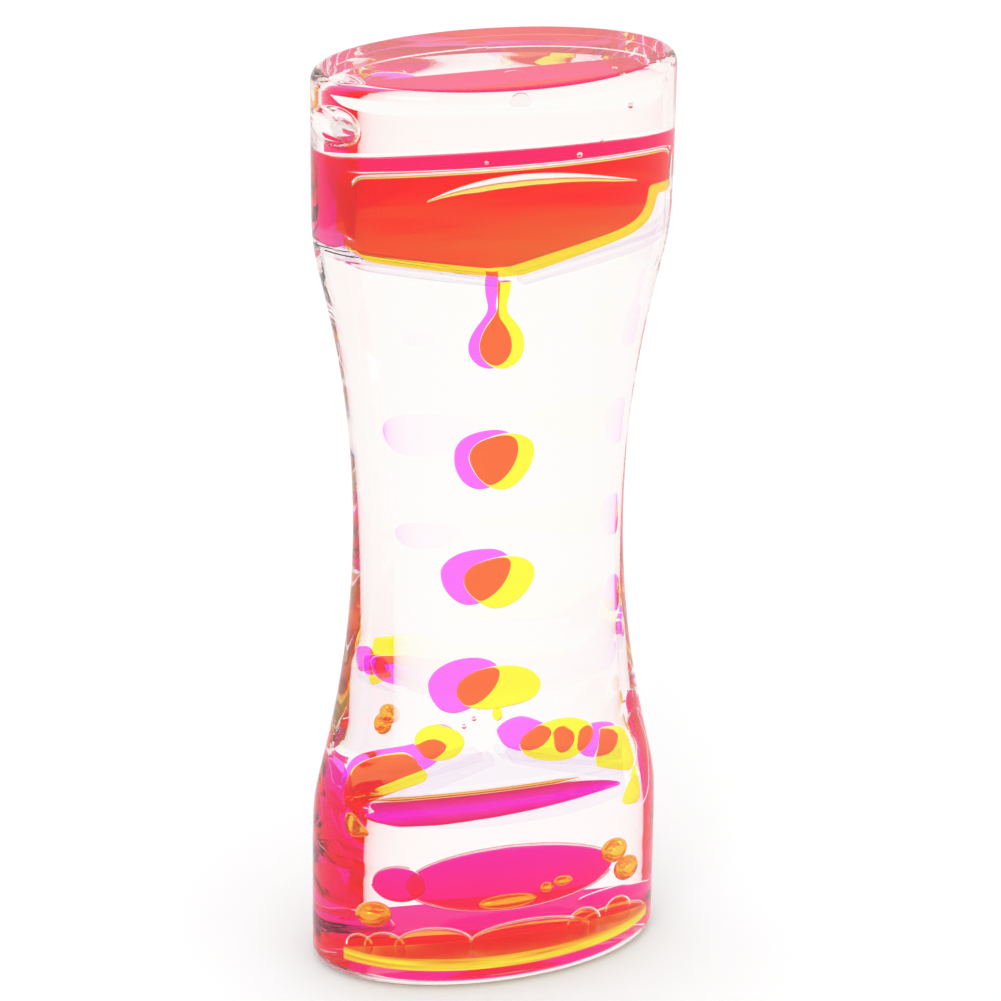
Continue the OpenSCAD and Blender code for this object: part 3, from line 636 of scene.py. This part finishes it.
# liquid on its way down the ramps, as body, replaced node, form and outlines in X and Z at rest: a pancake is
# round all over, and a slab is flat with a small edge
runLook = {"box": 0.4, "edge": 0.3}
rampShapes = {
    "front_left_round": ("front_left_run", "front_left_bead", "pancake",
        [[(-12.7, 39.1), (-12.1, 40.7), (-10.7, 41.8), (-8.4, 42), (-6.4, 41.1), (-5.4, 39.3),
          (-5.9, 37.7), (-7.1, 36.5), (-9, 36.1), (-10.9, 36.3), (-12.3, 37.5)]]),
    "front_left_run": ("front_left_run", "front_left_blob", "pancake",
        [[(-23.9, 28.7), (-23.8, 31), (-23.1, 33.7), (-22, 35.2), (-20.2, 36.3), (-17, 37.2),
          (-13.8, 37.5), (-12.9, 36.8), (-12.6, 35.8), (-11.6, 34.7), (-11, 33.6), (-11.6, 32.7),
          (-15.2, 31.8), (-18.8, 30.6), (-21.4, 29.6), (-22.8, 28.2)]]),
    "front_right_run": ("front_right_run", "front_right_blob", "pancake",
        [[(2.9, 36.5), (3.4, 37.8), (5, 39.2), (6.9, 40), (9.2, 40.4), (11.4, 40.3), (13.2, 39.6),
          (14.4, 38.5), (14.5, 37.1), (13.9, 35.6), (12.6, 34.4), (10.5, 33.4), (8.2, 33.5), (5.4, 34.3),
          (3.6, 35.3)]]),
    "front_right_end": ("front_right_run", "front_right_tail", "slab",
        [[(15.6, 37.1), (17.6, 36.9), (19.5, 36.4), (20.6, 35.4), (21.3, 33), (21.8, 30.9), (21.2, 29.6),
          (20.1, 29.6), (17.6, 30.5), (14.8, 31.4), (14.7, 32.4), (15.1, 34.2), (15.3, 35.8)]]),
    "front_thread": ("front_stream", "front_stream", "slab",
        [[(21.1, 28.8), (21.9, 28.8), (22.5, 27.6), (22.8, 26), (22.6, 24.4), (22, 23.7), (19.6, 24),
          (19.1, 24.7), (19.8, 26.1), (20.6, 27.4)]]),
    "rear_left_run": ("rear_left_run", "rear_left_blob", "pancake",
        [[(-20.3, 27.6), (-19.3, 31.3), (-18.7, 33), (-17.4, 34.4), (-15.3, 35.2), (-13.1, 35.6),
          (-11, 35.9), (-9.5, 36.3), (-7.7, 36.9), (-6.4, 36.8), (-5.9, 36), (-6.5, 34.9), (-7.7, 33.4),
          (-9, 32.4), (-12.5, 31), (-16, 29.4), (-18.2, 28)]]),
    "rear_right_run": ("rear_right_run", "rear_right_beads", "pancake",
        [[(1.1, 37), (2, 38.4), (3.7, 39.4), (5.4, 39.5), (7, 38.9), (8.5, 37.8), (9.1, 36.5),
          (8.7, 35.3), (7.7, 34.1), (6.1, 33.5), (4.1, 33.7), (2.1, 34.9)],
         [(9.3, 34.3), (9.5, 35.5), (10.1, 36.5), (11.2, 36.7), (12.2, 36), (12.5, 34.8), (12.1, 33.3),
          (11.3, 32.3), (10.3, 32.2), (9.6, 32.9)],
         [(12.8, 32.3), (12.9, 34.1), (13.4, 35.3), (14.6, 36.1), (16.6, 36), (18.6, 35.2), (19, 33.7),
          (18.9, 32), (18.3, 30.9), (17.3, 30.3), (15.6, 30.4), (13.7, 31)]])}
for name, (body, node, form, loops) in rampShapes.items():
    y, finish, slotName = dyeOf(name)
    halfT = dropLook["halfT"]
    if form == "slab":
        grids = [slabGrid(smoothLoop(points), y - halfT, y + halfT, runLook["edge"]) for points in loops]
        piece = flatSided(closedGrid(name + "_drop", *grids))
    else:
        grids = [pancakeGrid(smoothLoop(points), y, halfT, runLook["box"]) for points in loops]
        piece = closedGrid(name + "_drop", *grids)
    finishPiece(piece, finish, body, slotName, node)

# the thick ends that hang over the left end of the ramps, as body, slot, finish, depth, half thickness and
# outline in X and Z
endShapes = {"front_left_end": ("front_left_run", "amber_liquid", shadedBeadFinish, -4.2, 1.1,
                                [(-24, 28.4), (-23, 28.2), (-22, 26.6), (-20.6, 25.3), (-20.5, 24.4),
                                 (-22.2, 24.2), (-23.8, 24.4), (-24.5, 26)]),
             "rear_left_end": ("rear_left_run", "magenta_liquid", magentaFinish, 3.25, 1.6,
                               [(-22.3, 33), (-21.6, 34.2), (-20.8, 33.8), (-20.1, 31.5), (-20.1, 28.5),
                                (-20.4, 26), (-21, 24.8), (-21.9, 25.2), (-22.3, 28)])}
endBox = 0.5
for name, (body, slotName, finish, y, halfT, points) in endShapes.items():
    finishPiece(closedGrid(name, pancakeGrid(smoothLoop(points), y, halfT, endBox)), finish, body, slotName)


def balls(places):
    return [ballGrid(*place) for place in places]


# round beads in the lower end, as (x, y, z, half width, half depth, half height)
beadSizes = {"falling": [(17.9, -5, 16.5, 2.35, 2.2, 2.1), (20.2, -5, 12.7, 2.3, 2.2, 2.15)],
             "resting": [(-19.9, -5, 10.6, 2.8, 2.3, 2.2)],
             "low": [(1.5, -2.7, 9.9, 4.4, 1.2, 1.3), (7.4, -2.6, 11.4, 1.1, 1, 0.9),
                     (9.9, -2.6, 12.1, 1.5, 1.1, 0.9)]}
finishPiece(closedGrid("falling_beads", *balls(beadSizes["falling"])), shadedBeadFinish, "front_falling_beads",
            "amber_liquid", "front_falling_beads")
finishPiece(closedGrid("resting_bead", *balls(beadSizes["resting"])), shadedBeadFinish, "case", "amber_liquid",
            "front_resting_bead")
finishPiece(closedGrid("low_beads", *balls(beadSizes["low"])), shadedBeadFinish, "case", "amber_liquid")
print("ramp drops and beads made")

# the pools in the lower end: a bed along the front wall under a row of flat domes, and a pool with two large
# drops on it; domes and drops as the beads are, the pool's own domes as (x, y, half width, half depth, rise)
lowerPools = {"halfIn": 25.7,
              "bed": {"near": 4.2, "floor": 2.4, "level": 4.5, "domes": [], "columns": 160, "lines": 30},
              "pool": {"near": channel["near"], "floor": 2.4, "level": 4.7,
                       "domes": [(18.5, 5.5, 4.6, 3.6, 0.9), (-17.5, 5.5, 5, 4, 2.2)],
                       "columns": 200, "lines": 60},
              "frontDomes": [(3.9, -8.9, 5, 9.6, 5.6, 2.5), (-11.2, -7.6, 5, 6, 5, 2.6),
                             (18.4, -4.8, 4.3, 5.4, 3.4, 1.6), (12.9, -6.6, 5, 2.5, 2.5, 2.4),
                             (-18.4, -5.6, 4.8, 3, 2.8, 2.2), (-21.9, -4.2, 4.6, 2, 2, 1.9),
                             (18.9, -3.4, 4.8, 2, 2, 2.2)],
              "rearDrops": [(4.4, 7.6, 10.5, 14.2, 6, 5.2), (-11.3, 6.3, 11.5, 3.4, 3.6, 2.9)]}


def lowerPool(name, side, p):
    return domedPool(name, side, p["near"], p["floor"], p["level"], p["domes"], lowerPools["halfIn"],
                     p["columns"], p["lines"])


finishPiece(closedGrid("amber_domes", *balls(lowerPools["frontDomes"])), amberFinish, "case", "amber_liquid",
            "front_lower_pool")
finishPiece(lowerPool("amber_bed", -1, lowerPools["bed"]), bedFinish, "case", "amber_liquid",
            "front_lower_pool")
finishPiece(lowerPool("magenta_pool", 1, lowerPools["pool"]), deepFinish, "case", "deep_magenta_liquid",
            "rear_lower_pool")
finishPiece(closedGrid("magenta_lens", *balls(lowerPools["rearDrops"])), lensFinish, "case",
            "deep_magenta_liquid", "rear_lower_pool")

# painted highlights as bright lines on the domes and large drops, as the stretch of each outline in degrees
# and the line's radius; a drop comes first by its number
rimLook = {"tilt": 15, "out": 0.15, "domes": ((8, 172), 0.18),
           "drops": [(0, (-165, -15), 0.2), (0, (20, 160), 0.1), (1, (60, 175), 0.12)]}


def turnedRim(ball, degrees, radius):
    # a painted highlight line on the ball where it turns away from a viewer tilt degrees above it
    x, y, z, halfX, halfY, halfZ = ball
    lean = math.atan2(halfY * math.tan(math.radians(rimLook["tilt"])), halfZ)
    halfX, halfY, halfZ = (half + rimLook["out"] for half in (halfX, halfY, halfZ))
    t = np.radians(np.linspace(*degrees, 60))
    path = np.stack([x + halfX * np.cos(t), y + halfY * math.sin(lean) * np.sin(t),
                     z + halfZ * math.cos(lean) * np.sin(t)], -1)
    return tubeGrid(path, radius, sides=8)


rims = [turnedRim(dome, *rimLook["domes"]) for dome in lowerPools["frontDomes"]]
rims += [turnedRim(lowerPools["rearDrops"][k], degrees, radius) for k, degrees, radius in rimLook["drops"]]
finishPiece(closedGrid("pool_rim_highlights", *rims), paleHighlightFinish, "case", "clear_liquid")
print("lower pools made")

# the filler plugs, let in a hair below the cap
plugSizes = {"radius": 1.6, "low": 145.8, "high": 149.9, "y": 8.5, "chamfer": 0.3, "faceHalf": 0.8}
for name in ("front", "rear"):
    p = plugSizes
    z = [p["low"], p["low"], p["low"] + p["chamfer"], p["high"] - p["chamfer"], p["high"], p["high"]]
    lowHalf = [p["faceHalf"], p["radius"] - p["chamfer"], p["radius"]]
    w = np.array(lowHalf + lowHalf[::-1])
    finishPiece(closedGrid(name + "_round_plug", ovalGrid(z, w, w, 0, channel[name] * p["y"])), oilFinish,
                "case", "clear_plug", name + "_fill_plug")
print("plugs made")

# the camera stands where the photograph's did: angles in degrees, distance and sensor in mm, clip in metres,
# and the rest in pixels
cameraLook = {"turn": -19.9, "rise": 22.4, "roll": 0.81, "distance": 678, "focal": 4278,
              "axisPixel": (489, 514), "picture": 1001, "sensor": 36, "clip": (0.01, 50)}


def placeCamera(c):
    turn, rise, roll = (math.radians(c[k]) for k in ("turn", "rise", "roll"))
    back = np.array([math.sin(turn) * math.cos(rise), -math.cos(turn) * math.cos(rise), math.sin(rise)])
    right = np.array([math.cos(turn), math.sin(turn), 0])
    up = np.cross(back, right)
    right, up = right * math.cos(roll) + up * math.sin(roll), up * math.cos(roll) - right * math.sin(roll)
    camera = bpy.data.objects.new("camera", bpy.data.cameras.new("camera"))
    bpy.context.collection.objects.link(camera)
    place = (np.array([0, 0, middleZ]) + c["distance"] * back) * mm
    camera.matrix_world = Matrix([[*r] for r in zip(right, up, back, place)] + [[0, 0, 0, 1]])
    camera.data.sensor_width = c["sensor"]
    camera.data.lens = c["focal"] * c["sensor"] / c["picture"]
    camera.data.shift_x = (c["picture"] / 2 - c["axisPixel"][0]) / c["picture"]
    camera.data.shift_y = (c["axisPixel"][1] - c["picture"] / 2) / c["picture"]
    camera.data.clip_start, camera.data.clip_end = c["clip"]
    bpy.context.scene.camera = camera


placeCamera(cameraLook)

# a pale floor that keeps the shadow, and looks white where it is seen in or through the timer
floorLook = {"half": 4, "z": -0.0002, "color": (0.93, 0.93, 0.93, 1), "rough": 0.9, "glow": 0.08}
floorCorners = [(x * floorLook["half"], y * floorLook["half"], floorLook["z"])
                for x, y in ((-1, -1), (1, -1), (1, 1), (-1, 1))]
floor = meshObject("floor", floorCorners, [(0, 1, 2, 3)], False)


def makeFloorFinish(look):
    material = bpy.data.materials.new("paleFloor")
    material.use_nodes = True
    nodes, link = material.node_tree.nodes, material.node_tree.links.new
    shader = nodes["Principled BSDF"]
    shader.inputs["Base Color"].default_value = look["color"]
    shader.inputs["Roughness"].default_value = look["rough"]
    shader.inputs["Specular IOR Level"].default_value = 0
    pathKind, seen, whiten, swap = (nodes.new("ShaderNode" + k) for k in ("LightPath", "Math", "AddShader",
                                                                          "MixShader"))
    white, pale = (nodes.new("ShaderNodeEmission") for _ in range(2))
    seen.operation = "MAXIMUM"
    pale.inputs["Strength"].default_value = look["glow"]
    link(pathKind.outputs["Is Glossy Ray"], seen.inputs[0])
    link(pathKind.outputs["Is Transmission Ray"], seen.inputs[1])
    link(shader.outputs[0], whiten.inputs[0])
    link(pale.outputs[0], whiten.inputs[1])
    link(seen.outputs[0], swap.inputs["Fac"])
    link(whiten.outputs[0], swap.inputs[1])
    link(white.outputs[0], swap.inputs[2])
    link(swap.outputs[0], nodes["Material Output"].inputs["Surface"])
    return material


floor.data.materials.append(makeFloorFinish(floorLook))

# a white room and one soft lamp
lampSizes = {"place": (-0.7, -0.9, 1.1), "aim": (0, 0, 0.075), "size": 0.6, "power": 3}
world = bpy.data.worlds.new("paleRoom")
bpy.context.scene.world = world
world.use_nodes = True
world.node_tree.nodes["Background"].inputs["Color"].default_value = (1, 1, 1, 1)
world.node_tree.nodes["Background"].inputs["Strength"].default_value = 1
lamp = bpy.data.lights.new("softKey", "AREA")
lamp.size, lamp.energy = lampSizes["size"], lampSizes["power"]
softKey = bpy.data.objects.new("softKey", lamp)
bpy.context.collection.objects.link(softKey)
place = np.array(lampSizes["place"], float)
back = (place - lampSizes["aim"]) / np.linalg.norm(place - lampSizes["aim"])
right = np.cross([0, 0, 1], back)
right /= np.linalg.norm(right)
softKey.matrix_world = Matrix([[*r] for r in zip(right, np.cross(back, right), back, place)] + [[0, 0, 0, 1]])

bpy.context.scene.view_settings.view_transform = "Standard"
# light crosses up to a dozen clear walls, and is turned back inside them, before it leaves
lightDepth = 48
bpy.context.scene.cycles.max_bounces = lightDepth
bpy.context.scene.cycles.transmission_bounces = lightDepth
bpy.context.scene.cycles.glossy_bounces = lightDepth
print("scene finished")
